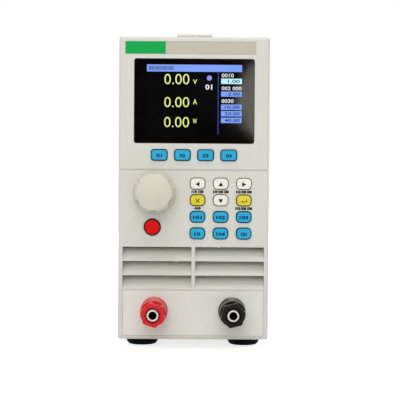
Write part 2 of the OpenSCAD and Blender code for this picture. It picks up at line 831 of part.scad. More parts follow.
module knob() {
    foot_r = knob_d / 2;
    face_r = knob_face_d / 2;
    dome_r = face_r - knob_rim;
    bore = knob_h - 3;
    steps = 6;
    color(cream) translate([knob_x, -knob_lift, knob_z]) difference() {
        turned_y() polygon(concat(
            [[0, 0], [foot_r, 0], [foot_r, knob_skirt / 2]],
            [for (i = [0:steps])
                [face_r - knob_rim * (1 - cos(90 * i / steps)),
                 knob_h - knob_crown - knob_rim * (1 - sin(90 * i / steps))]],
            [for (i = [1:steps]) [dome_r * (1 - i / steps), knob_h - knob_crown * pow(1 - i / steps, 2)]]
        ));
        for (i = [0:scallops - 1]) rotate([0, 360 * i / scallops, 0])
            translate([0, 0, face_r - scallop_depth + scallop_r])
                rod_y(2 * scallop_r, -knob_h - over, -knob_skirt);
        rod_y(shaft_d + 2 * shaft_gap, -bore, over);
    }
}

module encoder_shaft() {
    color(steel) translate([knob_x, 0, knob_z])
        rod_y(shaft_d, -knob_lift - knob_h + 3.2, board_y - 1.2);
}

module encoder_body() {
    bush_d = shaft_d + 2 * shaft_gap + 2 * bush_t;
    body_y = face_t + 2.5;
    color([0.55, 0.56, 0.58]) translate([knob_x, 0, knob_z]) difference() {
        union() {
            along_y(body_y, board_y) square([encoder_w, encoder_w], center = true);
            rod_y(bush_d, 0.3, body_y + over);
        }
        rod_y(shaft_d + 2 * shaft_gap, -over, board_y - 1);
    }
}

module power_button() {
    cap_r = button_d / 2 - key_gap - 0.1;
    rim_r = button_d / 2 + key_rim;
    steps = 5;
    color([0.86, 0.1, 0.1]) translate([button_x, 0, button_z]) {
        translate([0, rim_y + button_rim_t, 0]) turned_y() polygon(concat(
            [[0, 0], [rim_r, 0], [rim_r, button_rim_t], [cap_r, button_rim_t]],
            [for (i = [0:steps]) [
                cap_r * cos(75 * i / steps),
                rim_y + button_rim_t + button_proud - button_crown * (1 - sin(90 * i / steps))
            ]],
            [[0, rim_y + button_rim_t + button_proud]]
        ));
        rod_y(stem_d, rim_y, button_end);
    }
}

module power_switch() {
    color([0.15, 0.15, 0.16]) translate([button_x, 0, button_z]) difference() {
        along_y(button_switch_y, board_y) square([switch_w, switch_w], center = true);
        rod_y(stem_d + 2 * stem_gap, button_switch_y - over, button_end + button_travel + stem_room);
    }
}

module front_board() {
    color(board_green) difference() {
        translate([side_t + board_gap - case_w / 2, board_y, board_z0])
            cube([case_w - 2 * side_t - 2 * board_gap, board_t, board_z1 - board_z0]);
        at_bosses() rod_y(screw_hole_d, board_y - over, board_y + board_t + over);
    }
}

module tact_switch() {
    difference() {
        along_y(tact_y, board_y) square([tact_w, tact_w], center = true);
        rod_y(stem_d + 2 * stem_gap, tact_y - over, tact_y + tact_hole);
    }
}

module tact_switches() {
    color([0.2, 0.2, 0.2]) {
        at_soft_keys() tact_switch();
        at_pad_keys() tact_switch();
    }
}

module board_screws() {
    color(steel) at_bosses() translate([0, board_y + board_t, 0]) rotate([-90, 0, 0])
        screw(screw_d - 3 * screw_gap, screw_l + board_t, head_d - 0.8, head_h);
}

// Insulating base of a post, with the neck that passes through the wall
module post_base() {
    difference() {
        union() {
            turned_y() polygon([
                [0, 0], [base_d / 2, 0], [base_d / 2, base_t - base_edge],
                [base_d / 2 - base_edge, base_t], [0, base_t]
            ]);
            rod_y(neck_d, -over, face_t);
        }
        rod_y(stud_hole_d, -base_t - over, face_t + over);
    }
}

module red_base() { color(red) translate([-post_x, 0, post_z]) post_base(); }

module black_base() { color(black) translate([post_x, 0, post_z]) post_base(); }

module post_studs() {
    color(steel) at_posts() difference() {
        rod_y(stud_d, -post_reach, stud_end);
        rod_y(socket_d, -post_reach - over, socket_depth - post_reach);
    }
}

module post_nuts() {
    color(steel) at_posts() difference() {
        union() {
            rod_y(nut_d + 2, face_t, face_t + washer_t);
            translate([0, face_t + washer_t, 0]) rotate([-90, 0, 0]) cylinder(d = nut_d, h = nut_t, $fn = 6);
            translate([0, bar_y + bar_t, 0]) rotate([-90, 0, 0]) cylinder(d = nut_d, h = nut_t, $fn = 6);
        }
        rod_y(stud_hole_d, 0, stud_end);
    }
}

// Copper bars that run under the front board, back over the air inlet and up to the power board
module bus_bars() {
    step_z = board_z0 - bar_drop;
    color([0.72, 0.45, 0.2]) for (side = [-1, 1]) translate([side * post_x, 0, 0]) difference() {
        union() {
            translate([-bar_w / 2, bar_y, post_z - bar_w / 2])
                cube([bar_w, bar_t, step_z - post_z + bar_w / 2]);
            translate([-bar_w / 2, bar_y, step_z - bar_t]) cube([bar_w, riser_y - bar_y, bar_t]);
            translate([-bar_w / 2, riser_y - bar_t, step_z - bar_t])
                cube([bar_w, bar_t, power_z - step_z + bar_t]);
        }
        translate([0, 0, post_z]) rod_y(stud_hole_d, bar_y - over, bar_y + bar_t + over);
    }
}

module clamp_washer() {
    difference() {
        rod_y(washer_d, washer_y - washer_t, washer_y);
        rod_y(stud_hole_d, washer_y - washer_t - over, washer_y + over);
    }
}

module red_washer() { color(steel) translate([-post_x, 0, post_z]) clamp_washer(); }

module black_washer() { color(steel) translate([post_x, 0, post_z]) clamp_washer(); }

// Hex cap on a round collar, with chamfered edges, a running bore and a recess around the stud's tip
module post_cap(turn) {
    hex_r = cap_d / 2;
    collar_r = hex_r + collar_step;
    translate([0, cap_y, 0]) difference() {
        union() {
            turned_y() polygon([
                [0, 0], [collar_r - cap_edge, 0], [collar_r, cap_edge],
                [collar_r, collar_l - cap_edge / 2], [collar_r - cap_edge / 2, collar_l], [0, collar_l]
            ]);
            intersection() {
                translate([0, over - collar_l, 0])
                    rotate([90, turn, 0]) cylinder(d = cap_d, h = cap_l - collar_l + over, $fn = 6);
                turned_y() polygon([
                    [0, 0], [hex_r, 0], [hex_r, cap_l - cap_edge], [hex_r - cap_edge, cap_l], [0, cap_l]
                ]);
            }
        }
        rod_y(stud_hole_d, -cap_l - over, over);
        rod_y(cap_recess_d, -cap_l - over, cap_recess - cap_l);
    }
}

module red_cap() { color(red) translate([-post_x, 0, post_z]) post_cap(red_turn); }

module black_cap() { color(black) translate([post_x, 0, post_z]) post_cap(black_turn); }

module case_cover() {
    color(cream) difference() {
        along_y(bezel_d, case_d) difference() {
            translate([0, case_h / 2]) round_rect(case_w, case_h, case_r);
            translate([sheet_t - case_w / 2, -over]) square([case_w - 2 * sheet_t, case_h - sheet_t + over]);
        }
        at_side_screws() screw_hole();
        at_tray_screws() screw_hole();
        for (i = [0:slot_count - 1], z = slot_zs)
            translate([0, vent_y + i * slot_pitch, z])
                along_x(-case_w / 2 - over, case_w / 2 + over) slot_shape(slot_w, slot_l);
        at_handle_screws() cylinder(d = screw_hole_d + 1, h = 4 * over, center = true);
    }
}

module base_tray() {
    flange_y0 = bezel_d + lip_d + slip_gap;
    flange_y1 = fan_y - slip_gap;
    color([0.7, 0.7, 0.7]) difference() {
        union() {
            translate([-inner_w / 2, bezel_d, 0]) cube([inner_w, case_d - bezel_d, sheet_t]);
            for (side = [0, 1]) mirror([side, 0, 0])
                translate([inner_w / 2 - sheet_t, flange_y0, 0])
                    cube([sheet_t, flange_y1 - flange_y0, fold_h]);
        }
        at_tray_screws() screw_hole();
        at_front_screws() screw_hole();
        at_feet() cylinder(d = screw_hole_d, h = 4 * over, center = true);
    }
}

module rear_panel() {
    z0 = sheet_t + slip_gap;
    z1 = case_h - sheet_t - slip_gap;
    color(cream) difference() {
        union() {
            translate([-inner_w / 2, rear_y, z0]) cube([inner_w, sheet_t, z1 - z0]);
            difference() {
                translate([-inner_w / 2, rear_y - fold_h, fold_z])
                    cube([inner_w, fold_h + over / 2, z1 - fold_z]);
                translate([sheet_t - inner_w / 2, rear_y - fold_h - over, fold_z - over])
                    cube([inner_w - 2 * sheet_t, fold_h + 2 * over, z1 - fold_z - sheet_t + over]);
            }
        }
        at_side_screws() screw_hole();
        translate([0, 0, fan_z]) rod_y(duct_d, rear_y - over, case_d + over);
        at_fan_holes() rod_y(screw_hole_d + 1, rear_y - over, case_d + over);
        translate([inlet_x, 0, inlet_z]) along_y(rear_y - over, case_d + over)
            square([inlet_w + 2 * slip_gap, inlet_h + 2 * slip_gap], center = true);
        translate([port_x, 0, serial_z]) along_y(rear_y - over, case_d + over)
            square([serial_body_w + 2 * slip_gap, serial_body_h + 2 * slip_gap], center = true);
        translate([port_x, 0, usb_z]) along_y(rear_y - over, case_d + over)
            square([usb_w + 2 * slip_gap, usb_h + 2 * slip_gap], center = true);
    }
}

module cabinet_screws() {
    color(steel) {
        at_side_screws() screw(screw_d, screw_l, head_d, head_h);
        at_tray_screws() screw(screw_d, screw_l, head_d, head_h);
        at_front_screws() screw(screw_d, screw_l, head_d, head_h);
        at_feet() translate([0, 0, foot_seat - foot_h]) rotate([180, 0, 0])
            screw(screw_d, foot_h - foot_seat + sheet_t, head_d, head_h);
        at_fan_holes() translate([0, case_d + wire_d, 0]) rotate([-90, 0, 0])
            screw(screw_d, screw_l + wire_d, head_d, head_h);
    }
}

// Round rubber foot whose side curves in to a flat sole
module rubber_foot() {
    steps = 6;
    difference() {
        rotate_extrude() polygon(concat(
            [[0, 0], [foot_d / 2, 0]],
            [for (i = [0:steps]) [
                sole_d / 2 + (foot_d - sole_d) / 2 * cos(90 * i / steps),
                -1 - (foot_h - 1) * sin(90 * i / steps)
            ]],
            [[0, -foot_h]]
        ));
        translate([0, 0, -foot_h - over]) cylinder(d = head_d + 1, h = foot_seat + over);
        translate([0, 0, -foot_h]) cylinder(d = screw_hole_d, h = foot_h + over);
    }
}

module rubber_feet() { color(black) at_feet() rubber_foot(); }

// Draws a child at each end cap, with +Y towards the middle of the case
module at_handle_ends() {
    translate([0, handle_y, case_h]) children();
    translate([0, handle_end, case_h]) mirror([0, 1, 0]) children();
}

module at_handle_screws() { at_handle_ends() translate([0, handle_screw_y, 0]) children(); }

// End cap with an undercut roof, a mouth for the strap and a sunk screw
module handle_cap() {
    mouth_h = strap_t + strap_lift + 2 * strap_gap;
    difference() {
        translate([0, 0, grip_h / 2]) along_y(0, grip_l) round_rect(grip_w, grip_h, 0.8);
        translate([-grip_w / 2 - over, -over, -over])
            cube([grip_w + 2 * over, roof_over + over, grip_h - roof_t + over]);
        translate([-strap_w / 2 - strap_gap, grip_l - strap_in - strap_gap, strap_z - strap_gap])
            cube([strap_w + 2 * strap_gap, strap_in + strap_gap + over, mouth_h]);
        translate([0, handle_screw_y, -over]) cylinder(d = screw_hole_d + 1, h = grip_h + 2 * over);
        translate([0, handle_screw_y, handle_seat]) cylinder(d = head_d + 3, h = grip_h);
    }
}

module handle_caps() { color([0.94, 0.93, 0.84]) at_handle_ends() handle_cap(); }

// Strap with flat ends and a shallow arch between the end caps
module handle_strap() {
    y0 = handle_y + grip_l;
    y1 = handle_end - grip_l;
    middle = (y0 + y1) / 2;
    centre_z = strap_rise - strap_radius;
    color([0.94, 0.93, 0.84]) translate([0, 0, case_h + strap_z]) along_x(-strap_w / 2, strap_w / 2) {
        for (y = [y0 - strap_in, y1]) translate([y, 0]) square([strap_in, strap_t]);
        intersection() {
            translate([y0, 0]) square([y1 - y0, strap_rise + strap_t]);
            translate([middle, centre_z]) difference() {
                circle(strap_radius + strap_t);
                circle(strap_radius);
            }
        }
    }
}

module handle_screws() {
    color(steel) at_handle_screws() translate([0, 0, handle_seat])
        screw(screw_d + 0.8, screw_l + handle_seat, head_d + 2, head_h + 0.6);
}

// Extruded block with air channels from front to back
module heat_sink() {
    channel_w = (sink_w - (channels + 1) * fin_t) / channels;
    color([0.6, 0.61, 0.63]) difference() {
        translate([-sink_w / 2, sink_y, sheet_t]) cube([sink_w, sink_l, sink_h]);
        for (i = [0:channels - 1])
            translate([fin_t - sink_w / 2 + i * (channel_w + fin_t), sink_y - over, sheet_t + sink_wall])
                cube([channel_w, sink_l + 2 * over, sink_h - 2 * sink_wall]);
    }
}

// Transistor lying on the heat sink, with three legs that rise to the board
module power_transistor() {
    leg = 1.2;
    leg_pitch = 5.4;
    leg_z = fet_t / 2;
    translate([-fet_w / 2, -fet_l / 2, 0]) cube([fet_w, fet_l, fet_t]);
    for (i = [-1:1]) translate([i * leg_pitch - leg / 2, fet_l / 2 - over, leg_z]) {
        cube([leg, over + 3, leg]);
        translate([0, over + 3 - leg, 0]) cube([leg, leg, standoff_h - leg_z]);
    }
}

module power_transistors() {
    color(black) for (side = [-1, 1], y = fet_ys)
        translate([side * fet_x, y, sink_z]) power_transistor();
}

module board_standoffs() {
    color([0.8, 0.65, 0.3]) for (side = [-1, 1], y = standoff_ys)
        translate([side * standoff_x, y, sink_z]) cylinder(d = standoff_d, h = standoff_h, $fn = 6);
}

module power_board() {
    color(board_green) translate([-sink_w / 2, power_y, power_z]) cube([sink_w, power_l, board_t]);
}

module transformer() {
    coil_out = 5;
    lamination = core_h * 0.55;
    color([0.75, 0.6, 0.25]) translate([-core_w / 2, core_y, power_z + board_t]) {
        cube([core_w, core_l, core_h]);
        translate([-coil_out, coil_out, (core_h - lamination) / 2])
            cube([core_w + 2 * coil_out, core_l - 2 * coil_out, lamination]);
    }
}

module capacitors() {
    color([0.1, 0.12, 0.3]) for (side = [-1, 1], y = can_ys)
        translate([side * can_x, y, power_z + board_t]) cylinder(d = can_d, h = can_h);
}

module at_fan_holes() {
    for (x = [-1, 1], z = [-1, 1])
        translate([x * fan_hole_pitch / 2, 0, fan_z + z * fan_hole_pitch / 2]) children();
}

// Square fan frame with a duct, four struts and a bearing tube
module fan_frame() {
    plate_y = rear_y - hub_plate_t;
    color(black) translate([0, 0, fan_z]) difference() {
        union() {
            along_y(fan_y, rear_y) difference() {
                round_rect(fan_w, fan_w, fan_r);
                circle(d = duct_d);
                for (x = [-1, 1], z = [-1, 1])
                    translate([x * fan_hole_pitch / 2, z * fan_hole_pitch / 2]) circle(d = screw_hole_d + 1);
            }
            rod_y(hub_d, plate_y, rear_y);
            for (turn = [45, 135]) rotate([0, turn, 0])
                translate([-duct_d / 2 - over, plate_y, -strut_w / 2])
                    cube([duct_d + 2 * over, hub_plate_t, strut_w]);
            rod_y(bearing_d, fan_y + bearing_in, rear_y);
        }
        rod_y(fan_shaft_d + 2 * fan_gap, fan_y, rear_y - 1);
    }
}

// Rotor with a cup hub, its shaft and slanted blades
module fan_rotor() {
    cup_y0 = fan_y + 1;
    cup_y1 = rear_y - hub_plate_t - 1;
    blade_r = duct_d / 2 - tip_gap;
    chord = 20;
    pitch_angle = 48;
    color(black) translate([0, 0, fan_z]) {
        difference() {
            rod_y(hub_d, cup_y0, cup_y1);
            rod_y(hub_d - 2 * cup_wall, cup_y0 + 3, cup_y1 + over);
        }
        rod_y(fan_shaft_d, cup_y0 + 1, rear_y - 1.5);
        intersection() {
            difference() {
                rod_y(2 * blade_r, cup_y0, cup_y1);
                rod_y(hub_d - 2 * cup_wall + 1, cup_y0 - over, cup_y1 + over);
            }
            union() for (i = [0:blades - 1]) rotate([0, 360 * i / blades, 0])
                translate([hub_d / 2 - cup_wall, (cup_y0 + cup_y1) / 2, 0]) rotate([pitch_angle, 0, 0])
                    translate([0, -chord / 2, -blade_t / 2]) cube([blade_r, chord, blade_t]);
        }
    }
}

// Wire rings on a cross of wires that ends in four ears
module fan_guard() {
    rings = 5;
    inner_r = 6;
    ring_pitch = (duct_d / 2 - wire_d - inner_r) / (rings - 1);
    ear = head_d + 1;
    reach = fan_hole_pitch / sqrt(2);
    color(steel) difference() {
        translate([0, case_d, fan_z]) {
            for (i = [0:rings - 1]) translate([0, 1.5 * wire_d, 0]) rotate([90, 0, 0]) rotate_extrude()
                translate([inner_r + i * ring_pitch, 0]) circle(d = wire_d);
            for (turn = [45, 135]) rotate([0, turn, 0])
                translate([-reach, 0, -wire_d / 2]) cube([2 * reach, 1.3 * wire_d, wire_d]);
            for (turn = [45:90:315]) rotate([0, turn, 0]) translate([reach, 0, 0]) rod_y(ear, 0, wire_d);
        }
        at_fan_holes() rod_y(screw_hole_d, case_d - over, case_d + 2 * wire_d);
    }
}

// Inlet with a mains socket, three pins and a bay for the fuse drawer
module mains_inlet() {
    bay_w = drawer_w + 2 * drawer_gap;
    bay_h = drawer_h + 2 * drawer_gap;
    pin = [2, 4];
    pin_x = 7;
    pin_z = 2;
    outer_y = case_d + inlet_rim_t;
    floor_y = outer_y - mains_depth;
    color(black) translate([inlet_x, 0, 0]) {
        difference() {
            union() {
                translate([0, 0, inlet_z]) along_y(case_d - inlet_d, outer_y)
                    square([inlet_w, inlet_h], center = true);
                translate([0, 0, inlet_z]) along_y(case_d, outer_y)
                    round_rect(inlet_w + 2 * inlet_rim, inlet_h + 2 * inlet_rim, 2);
            }
            translate([0, 0, mains_z]) along_y(floor_y, outer_y + over) polygon([
                [-mains_w / 2, -mains_h / 2], [mains_w / 2, -mains_h / 2],
                [mains_w / 2, mains_h / 2 - mains_cut], [mains_w / 2 - mains_cut, mains_h / 2],
                [mains_cut - mains_w / 2, mains_h / 2], [-mains_w / 2, mains_h / 2 - mains_cut]
            ]);
            translate([0, 0, drawer_z]) along_y(outer_y - drawer_d - 1, outer_y + over)
                square([bay_w, bay_h], center = true);
        }
        for (place = [[-pin_x, -pin_z], [pin_x, -pin_z], [0, pin_z]])
            translate([place[0] - pin[0] / 2, floor_y - over, mains_z + place[1] - pin[1] / 2])
                cube([pin[0], pin_l + over, pin[1]]);
    }
}

// Drawer with a finger lip and a round pocket for the fuse
module fuse_drawer() {
    pocket_d = fuse_d + 2 * fuse_gap;
    lip = 2;
    lip_out = 1.5;
    color(black) translate([inlet_x, 0, drawer_z]) difference() {
        union() {
            along_y(drawer_out - drawer_d, drawer_out) square([drawer_w, drawer_h], center = true);
            translate([-drawer_w / 4, drawer_out - over, drawer_h / 2 - lip])
                cube([drawer_w / 2, over + lip_out, lip]);
        }
        translate([-fuse_l / 2 - fuse_gap, fuse_y, 0]) rotate([0, 90, 0])
            cylinder(d = pocket_d, h = fuse_l + 2 * fuse_gap);
        translate([-fuse_l / 2 - fuse_gap, fuse_y - pocket_d / 2, 0])
            cube([fuse_l + 2 * fuse_gap, pocket_d, drawer_h]);
    }
}

module fuse() {
    color([0.8, 0.8, 0.75]) translate([inlet_x - fuse_l / 2, fuse_y, drawer_z]) rotate([0, 90, 0])
        cylinder(d = fuse_d, h = fuse_l);
}

// Serial port with a slanted shell and two jack screws, and a square data port under it
module data_ports() {
    shell_w = 16.9;
    shell_h = 8.4;
    slant = 1.2;
    jack_x = 12.5;
    jack_d = 5.4;
    pitch = 2.74;
    row_z = 1.42;
    hole_d = 1.2;
    hole_end = case_d + serial_out + over;
    mouth = [8.5, 7.8];
    tongue = [5.6, 3.2];
    mouth_d = 9;
    usb_rim = 1.5;
    color(steel) {
        translate([port_x, 0, serial_z]) difference() {
            union() {
                along_y(case_d - port_d, case_d + port_flange_t)
                    square([serial_body_w, serial_body_h], center = true);
                along_y(case_d, case_d + port_flange_t) round_rect(serial_flange_w, serial_flange_h, 1.5);
                along_y(case_d, case_d + serial_out) polygon([
                    [-shell_w / 2, shell_h / 2], [shell_w / 2, shell_h / 2],
                    [shell_w / 2 - slant, -shell_h / 2], [slant - shell_w / 2, -shell_h / 2]
                ]);
            }
            for (i = [-2:2]) translate([i * pitch, 0, row_z]) rod_y(hole_d, case_d, hole_end);
            for (i = [-1.5:1.5]) translate([i * pitch, 0, -row_z]) rod_y(hole_d, case_d, hole_end);
        }
        for (side = [-1, 1]) translate([port_x + side * jack_x, case_d + port_flange_t, serial_z])
            rotate([-90, 0, 0]) cylinder(d = jack_d, h = serial_out - 1.3 * port_flange_t, $fn = 6);
        translate([port_x, 0, usb_z]) difference() {
            union() {
                along_y(case_d - port_d, case_d + port_flange_t) square([usb_w, usb_h], center = true);
                along_y(case_d, case_d + 0.8 * port_flange_t)
                    square([usb_w + 2 * usb_rim, usb_h + 2 * usb_rim], center = true);
            }
            along_y(case_d - mouth_d, case_d + port_flange_t + over) difference() {
                square(mouth, center = true);
                square(tongue, center = true);
            }
        }
    }
}

placed() front_bezel();
placed() name_strip();
placed() green_label();
placed() display_window();
placed() lcd_module();
placed() terminal_panel();
for (i = [0:3]) placed() soft_key(i);
for (i = [0, 1, 2, 4]) placed() pad_key(i, white);
for (i = [3, 5]) placed() pad_key(i, yellow);
for (i = [6:11]) placed() pad_key(i, blue);
placed() knob();
placed() encoder_shaft();
placed() encoder_body();
placed() power_button();
placed() power_switch();
placed() front_board();
placed() tact_switches();
placed() board_screws();
placed() red_base();
placed() black_base();
placed() post_studs();
placed() post_nuts();
placed() bus_bars();
placed() red_washer();
placed() black_washer();
placed() red_cap();
placed() black_cap();
placed() case_cover();
placed() base_tray();
placed() rear_panel();
placed() cabinet_screws();
placed() rubber_feet();
placed() handle_caps();
placed() handle_strap();
placed() handle_screws();
placed() heat_sink();
placed() power_transistors();
placed() board_standoffs();
placed() power_board();
placed() transformer();
placed() capacitors();
placed() fan_frame();
placed() fan_rotor();
placed() fan_guard();
placed() mains_inlet();
placed() fuse_drawer();
placed() fuse();
placed() data_ports();
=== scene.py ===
import math

import bmesh
import bpy
from mathutils import Matrix, Vector


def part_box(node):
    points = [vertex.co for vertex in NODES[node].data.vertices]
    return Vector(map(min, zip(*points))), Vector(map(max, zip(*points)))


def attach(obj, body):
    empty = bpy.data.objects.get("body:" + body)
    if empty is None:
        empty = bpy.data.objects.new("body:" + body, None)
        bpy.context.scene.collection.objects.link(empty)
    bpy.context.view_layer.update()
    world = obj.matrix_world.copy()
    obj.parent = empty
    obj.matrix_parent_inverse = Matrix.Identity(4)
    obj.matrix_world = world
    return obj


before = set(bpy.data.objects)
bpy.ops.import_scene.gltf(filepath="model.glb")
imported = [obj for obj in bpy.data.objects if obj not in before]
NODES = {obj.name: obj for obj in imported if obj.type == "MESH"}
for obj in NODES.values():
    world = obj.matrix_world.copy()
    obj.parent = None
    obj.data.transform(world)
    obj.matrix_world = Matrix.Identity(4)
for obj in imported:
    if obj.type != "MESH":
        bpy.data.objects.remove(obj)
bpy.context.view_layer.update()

MM = 0.001
FACE_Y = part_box("front_bezel")[0].y
CASE_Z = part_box("front_bezel")[0].z


# Colours

def srgb(red, green, blue):
    """Linear colour of a screen colour given from 0 to 255."""
    def linear(value):
        value /= 255
        return value / 12.92 if value <= 0.04045 else ((value + 0.055) / 1.055) ** 2.4
    return linear(red), linear(green), linear(blue), 1.0


def grey(value):
    """Linear grey from 0 to 1."""
    return value, value, value, 1.0


def shade(colour, factor):
    """The same colour, lighter or darker."""
    return tuple(min(1.0, part * factor) for part in colour[:3]) + (1.0,)


# Shader nodes, each helper adds some to a tree and returns their output

ROUNDING_SAMPLES = 4


def link(tree, source, target):
    tree.links.new(source, target)


def feed(tree, value, socket):
    """Gives a socket a constant, or the value of another socket."""
    if isinstance(value, bpy.types.NodeSocket):
        link(tree, value, socket)
    else:
        socket.default_value = value


def add_math(tree, operation, first, second=0.0):
    """Result of a math operation on sockets or constants."""
    node = tree.nodes.new("ShaderNodeMath")
    node.operation = operation
    for socket, value in zip(node.inputs, (first, second)):
        feed(tree, value, socket)
    return node.outputs["Value"]


def mix_colours(tree, blend, factor, first, second):
    """Blend of two colours; the colours and the factor are sockets or constants."""
    mix = tree.nodes.new("ShaderNodeMix")
    mix.data_type = "RGBA"
    mix.blend_type = blend
    for value, name in ((factor, "Factor"), (first, "A"), (second, "B")):
        feed(tree, value, next(part for part in mix.inputs if part.name == name and part.enabled))
    return next(part for part in mix.outputs if part.enabled)


def add_noise(tree, size, detail=2.0, stretch=(1, 1, 1)):
    """Noise with features of the given size in metres, stretched along the axes."""
    coords = tree.nodes.new("ShaderNodeTexCoord")
    mapping = tree.nodes.new("ShaderNodeMapping")
    mapping.inputs["Scale"].default_value = [1 / (size * part) for part in stretch]
    noise = tree.nodes.new("ShaderNodeTexNoise")
    noise.inputs["Scale"].default_value = 1.0
    noise.inputs["Detail"].default_value = detail
    link(tree, coords.outputs["Object"], mapping.inputs["Vector"])
    link(tree, mapping.outputs["Vector"], noise.inputs["Vector"])
    return noise.outputs[0]


def add_ramp(tree, source, low, high, start=0.35, end=0.65):
    """Colour that runs from low to high while the source runs from start to end."""
    ramp = tree.nodes.new("ShaderNodeValToRGB")
    ramp.color_ramp.elements[0].position = start
    ramp.color_ramp.elements[1].position = end
    ramp.color_ramp.elements[0].color = low
    ramp.color_ramp.elements[1].color = high
    link(tree, source, ramp.inputs["Fac"])
    return ramp.outputs["Color"]


def add_axes(tree, output):
    """Outputs X, Y and Z of a texture coordinate."""
    coords = tree.nodes.new("ShaderNodeTexCoord")
    parts = tree.nodes.new("ShaderNodeSeparateXYZ")
    link(tree, coords.outputs[output], parts.inputs["Vector"])
    return parts.outputs


def square_from(tree, across, rise, x, z):
    """Squared distance of the sockets across and rise from the point x, z."""
    offsets = add_math(tree, "SUBTRACT", across, x), add_math(tree, "SUBTRACT", rise, z)
    squares = [add_math(tree, "POWER", offset, 2.0) for offset in offsets]
    return add_math(tree, "ADD", *squares)


def add_relief(tree, bumps, stretch, edge):
    """Normal with rounded edges and a fine relief, or None."""
    normal = None
    if edge:
        rounding = tree.nodes.new("ShaderNodeBevel")
        rounding.samples = ROUNDING_SAMPLES
        rounding.inputs["Radius"].default_value = edge
        normal = rounding.outputs["Normal"]
    for strength, size in bumps:
        bump = tree.nodes.new("ShaderNodeBump")
        bump.inputs["Strength"].default_value = strength
        bump.inputs["Distance"].default_value = size
        link(tree, add_noise(tree, size, stretch=stretch), bump.inputs["Height"])
        if normal:
            link(tree, normal, bump.inputs["Normal"])
        normal = bump.outputs["Normal"]
    return normal


# Procedural materials

PATCH_SIZE = 0.012
PATCH_DETAIL = 3.0
SPECK_DETAIL = 1.0
SPECK_RAMP = (0.3, 0.5)


def uneven_colour(tree, colour, mottle, speck, stretch):
    """Colour in soft lighter and darker patches, with fine dark specks."""
    amount, size = mottle
    patches = add_noise(tree, size, PATCH_DETAIL, stretch)
    tone = add_ramp(tree, patches, shade(colour, 1 - amount), shade(colour, 1 + amount))
    amount, size = speck
    specks = add_noise(tree, size, SPECK_DETAIL)
    fine = add_ramp(tree, specks, grey(1 - amount), grey(1.0), *SPECK_RAMP)
    return mix_colours(tree, "MULTIPLY", 1.0, tone, fine)


def uneven_roughness(tree, roughness, spread, stretch):
    patches = add_noise(tree, PATCH_SIZE, PATCH_DETAIL, stretch)
    return add_ramp(tree, patches, grey(max(0.0, roughness - spread)), grey(min(1.0, roughness + spread)))


def finish(name, colour, roughness, mottle=(0.03, 0.03), speck=(0.03, 0.0006), bumps=(),
           stretch=(1, 1, 1), spread=0.06, edge=0.0, sockets=None):
    """Material with uneven colour, uneven roughness and a fine relief.

    mottle and speck are an amount and a size in metres, bumps are a strength and a size each,
    spread is how far the roughness strays, edge is the radius of edges rounded by shading,
    and sockets are constants of the shader.
    """
    material = bpy.data.materials.new(name)
    material.use_nodes = True
    tree = material.node_tree
    inputs = tree.nodes["Principled BSDF"].inputs
    link(tree, uneven_colour(tree, colour, mottle, speck, stretch), inputs["Base Color"])
    link(tree, uneven_roughness(tree, roughness, spread, stretch), inputs["Roughness"])
    normal = add_relief(tree, bumps, stretch, edge)
    if normal:
        link(tree, normal, inputs["Normal"])
    for socket, value in (sockets or {}).items():
        inputs[socket].default_value = value
    return material


def glowing(name, colour):
    """Lit display pixels: a dark film that gives off its colour, a little uneven as a backlight is."""
    material = finish(name, shade(colour, GLOW_BASE), **GLOW_FILM)
    tree = material.node_tree
    inputs = tree.nodes["Principled BSDF"].inputs
    light = add_ramp(tree, add_noise(tree, PATCH_SIZE), shade(colour, GLOW_DIM), shade(colour, 1.0))
    link(tree, light, inputs["Emission Color"])
    inputs["Emission Strength"].default_value = 1.0
    return material


def recolour(material, zone, colour):
    """Second colour over the material's own, where the zone is 1."""
    tree = material.node_tree
    base = tree.nodes["Principled BSDF"].inputs["Base Color"]
    link(tree, mix_colours(tree, "MIX", zone, base.links[0].from_socket, colour), base)


def paint_round_shade(material, node, radius, colour, outside=False):
    """Painted shade: a second colour inside or outside a round zone about a node's axis, and about its
    mirror image.
    """
    tree = material.node_tree
    low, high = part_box(node)
    axes = add_axes(tree, "Object")
    across = add_math(tree, "ABSOLUTE", axes["X"])
    square = square_from(tree, across, axes["Z"], abs(low.x + high.x) / 2, (low.z + high.z) / 2)
    zone = add_math(tree, "GREATER_THAN" if outside else "LESS_THAN", square, radius ** 2)
    recolour(material, zone, colour)


def paint_rim_shade(material, colour):
    """Painted shade where the surface turns away from the front, on the skirts of the keys next to the
    gaps around them.
    """
    tree = material.node_tree
    zone = add_math(tree, "GREATER_THAN", add_axes(tree, "Normal")["Y"], RIM_TURN)
    recolour(material, zone, colour)


# What the materials share: shine, relief and kinds of surface

DULL = {"Specular IOR Level": 0.08}
SATIN = {"Specular IOR Level": 0.22}
GLOSS = {"Specular IOR Level": 0.4}
POLISH = {"Specular IOR Level": 1.0}
METAL = {"Metallic": 1.0}
MOULDED = [(0.10, 0.0005), (0.05, 0.004)]
SHELL = dict(roughness=0.48, mottle=(0.012, 0.05), speck=(0.03, 0.0007), bumps=MOULDED, sockets=SATIN)
FILM = dict(mottle=(0.03, 0.02), speck=(0.03, 0.0004), bumps=[(0.06, 0.0003)], sockets=DULL)
PANE = dict(roughness=0.05, mottle=(0.3, 0.03), spread=0.02, bumps=[(0.002, 0.02)])
KEY = dict(roughness=0.42, mottle=(0.03, 0.004), speck=(0.04, 0.0005), bumps=MOULDED, sockets=DULL)
RED = dict(mottle=(0.06, 0.006), bumps=[(0.06, 0.0008)])
BLACK = dict(mottle=(0.12, 0.006), speck=(0.10, 0.0006), bumps=[(0.08, 0.0008)])
PRINTED = dict(roughness=0.5, mottle=(0.12, 0.002), bumps=[(0.1, 0.0003)], sockets=DULL)
GLOW_FILM = dict(roughness=0.4, mottle=(0.1, 0.004), bumps=[(0.02, 0.0005)], sockets=DULL)
GLOW_BASE = 0.02
